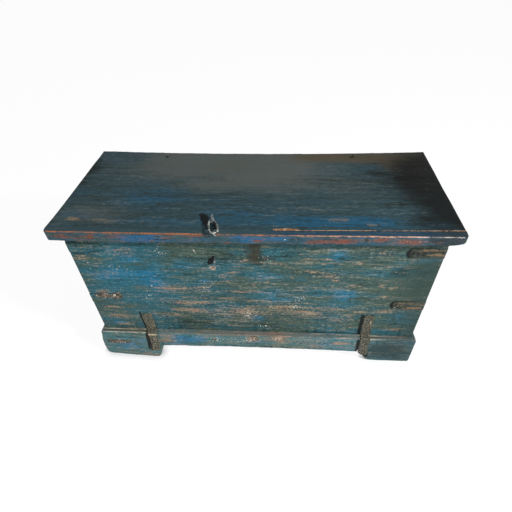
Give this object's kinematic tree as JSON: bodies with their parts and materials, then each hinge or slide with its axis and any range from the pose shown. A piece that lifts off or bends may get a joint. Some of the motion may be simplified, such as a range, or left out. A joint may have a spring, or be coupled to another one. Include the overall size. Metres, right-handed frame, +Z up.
{
  "type": "trunk",
  "caption": "Long low painted wooden trunk on a footed plinth, with a flat overhanging lid on wire hinges, iron straps and a chain hasp.",
  "frame": {"origin": "centre of the footprint on the floor, under the four feet", "axes": "+X along the length, to the right of someone facing the front; +Y from the front to the hinged back; +Z up"},
  "size_m": [1.2, 0.5372, 0.6138],
  "materials": {
    "front_paint": "worn teal and blue paint over bare boards",
    "lid_paint": "dark slate blue paint, half gloss, rubbed brown",
    "plinth_paint": "worn teal paint with cream arrises",
    "bare_wood": "old unpainted softwood",
    "iron": "rubbed dark iron",
    "painted_iron": "iron strap painted over with the case"
  },
  "bodies": {
    "case": {"front_wall": "front_paint", "left_wall": "front_paint", "right_wall": "front_paint", "back_wall_lower": "plinth_paint", "back_wall_upper": "plinth_paint", "floor_plank_1": "bare_wood", "floor_plank_2": "bare_wood", "floor_plank_3": "bare_wood", "bearer_left": "bare_wood", "bearer_right": "bare_wood", "front_skirt": "plinth_paint", "back_skirt": "plinth_paint", "left_skirt": "plinth_paint", "right_skirt": "plinth_paint", "foot_front_left": "plinth_paint", "foot_front_right": "plinth_paint", "foot_back_left": "plinth_paint", "foot_back_right": "plinth_paint", "strap_upper_left": "painted_iron", "strap_upper_left_nail_front": "painted_iron", "strap_upper_left_nail_end": "painted_iron", "strap_lower_left": "painted_iron", "strap_lower_left_nail_front": "painted_iron", "strap_lower_left_nail_end": "painted_iron", "strap_upper_right": "painted_iron", "strap_upper_right_nail_front": "painted_iron", "strap_upper_right_nail_end": "painted_iron", "strap_lower_right": "painted_iron", "strap_lower_right_nail_front": "painted_iron", "strap_lower_right_nail_end": "painted_iron", "foot_strap_left": "iron", "foot_strap_left_nail_1": "iron", "foot_strap_left_nail_2": "iron", "foot_strap_left_nail_3": "iron", "foot_strap_right": "iron", "foot_strap_right_nail_1": "iron", "foot_strap_right_nail_2": "iron", "foot_strap_right_nail_3": "iron", "wall_staple": "iron", "hinge_wall_loop_left": "iron", "hinge_wall_loop_right": "iron"},
    "lid": {"lid_panel": "lid_paint", "lid_nosing": "lid_paint", "lid_batten_left": "bare_wood", "lid_batten_right": "bare_wood", "nosing_nail_left": "iron", "nosing_nail_right": "iron", "hinge_lid_loop_left": "iron", "hinge_lid_loop_right": "iron", "lid_staple": "iron"},
    "chain_link": {"hasp_link": "iron"},
    "chain_ring": {"hasp_ring": "iron"}
  },
  "joints": [
    {"name": "lid_hinge", "type": "hinge", "parent": "case", "child": "lid", "pos_m": [0, 0.2426, 0.548], "axis": [-1, 0, 0], "range_deg": [0, 110]},
    {"name": "hasp_hinge", "type": "hinge", "parent": "lid", "child": "chain_link", "pos_m": [-0.0975, -0.2619, 0.6005], "axis": [0.969, 0.247, 0], "range_deg": [0, 270]},
    {"name": "ring_hinge", "type": "hinge", "parent": "chain_link", "child": "chain_ring", "pos_m": [-0.11281, -0.20184, 0.60205], "axis": [0.969, 0.247, 0], "range_deg": [0, 180]}
  ]
}
